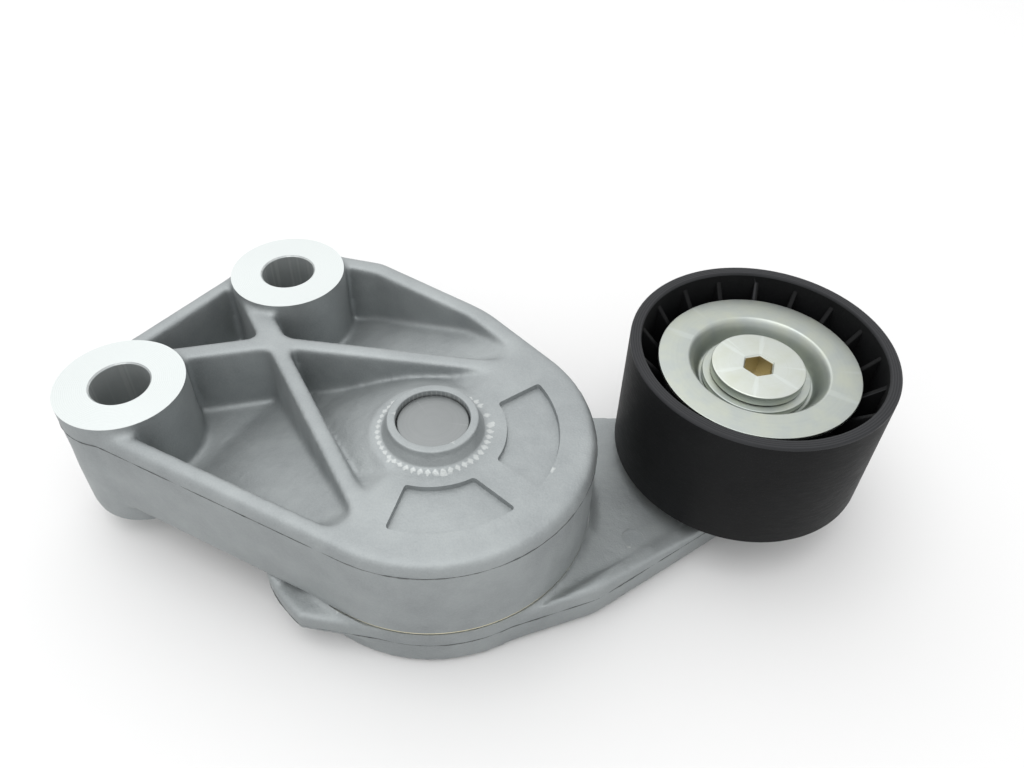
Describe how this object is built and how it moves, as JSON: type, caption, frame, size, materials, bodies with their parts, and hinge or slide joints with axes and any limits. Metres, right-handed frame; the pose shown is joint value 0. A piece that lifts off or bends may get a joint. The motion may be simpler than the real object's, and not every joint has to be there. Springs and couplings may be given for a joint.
{
  "type": "belt tensioner idler",
  "caption": "Automatic belt tensioner: a cast bracket with a sprung arm under it and a smooth idler pulley that turns on a ball bearing at the arm's end.",
  "frame": {"origin": "on the pivot's axis, in the plane of the arm's underside and of the pin's flush head", "axes": "+Z along the pivot's axis towards the bracket's machined boss faces, +X from the pivot to the pulley's axis at rest"},
  "size_m": [0.2416, 0.1432, 0.06],
  "materials": {
    "cast_aluminium": "satin as-cast skin, machined on the boss faces",
    "machined_steel": "turned",
    "bearing_steel": "ground and polished",
    "spring_steel": "dark oiled wire",
    "zinc_plate": "zinc plated, satin",
    "black_nylon": "glass-filled nylon, matte",
    "pale_nylon": "natural nylon",
    "bronze_bush": "sintered bronze",
    "friction_nylon": "filled friction nylon",
    "seal_rubber": "moulded rubber"
  },
  "bodies": {
    "bracket": {"bracket_casting": "cast_aluminium", "pivot_pin": "machined_steel", "torsion_spring": "spring_steel"},
    "arm": {"arm_casting": "cast_aluminium", "seam_ring": "pale_nylon", "pivot_bushing": "bronze_bush", "lower_thrust_washer": "pale_nylon", "upper_thrust_washer": "pale_nylon", "spring_sleeve": "pale_nylon", "damper_shoe": "friction_nylon", "shoe_backing": "machined_steel", "pulley_bolt": "zinc_plate", "bolt_washer": "zinc_plate", "dust_shield": "zinc_plate", "bearing_sleeve": "machined_steel", "bearing_inner_ring": "bearing_steel", "rear_shield": "zinc_plate"},
    "pulley": {"pulley_shell": "black_nylon", "bearing_outer_ring": "bearing_steel", "front_seal": "seal_rubber", "rear_seal": "seal_rubber"},
    "cage": {"ball_cage": "machined_steel", "ball_1": "bearing_steel", "ball_2": "bearing_steel", "ball_3": "bearing_steel", "ball_4": "bearing_steel", "ball_5": "bearing_steel", "ball_6": "bearing_steel", "ball_7": "bearing_steel"}
  },
  "joints": [
    {"name": "arm_swing", "type": "hinge", "parent": "bracket", "child": "arm", "pos_m": [0, 0, 0], "axis": [0, 0, 1], "range_deg": [0, 50], "stiffness_Nm_per_rad": 38, "springref_deg": -45.84, "deforming": ["torsion_spring"]},
    {"name": "pulley_spin", "type": "hinge", "parent": "arm", "child": "pulley", "pos_m": [0.098, 0, 0.0389], "axis": [0, 0, 1], "continuous": true},
    {"name": "cage_spin", "type": "hinge", "parent": "arm", "child": "cage", "pos_m": [0.098, 0, 0.0389], "axis": [0, 0, 1], "continuous": true}
  ],
  "couplings": [
    {"joint": "cage_spin", "follows": "pulley_spin", "ratio": 0.6375}
  ]
}
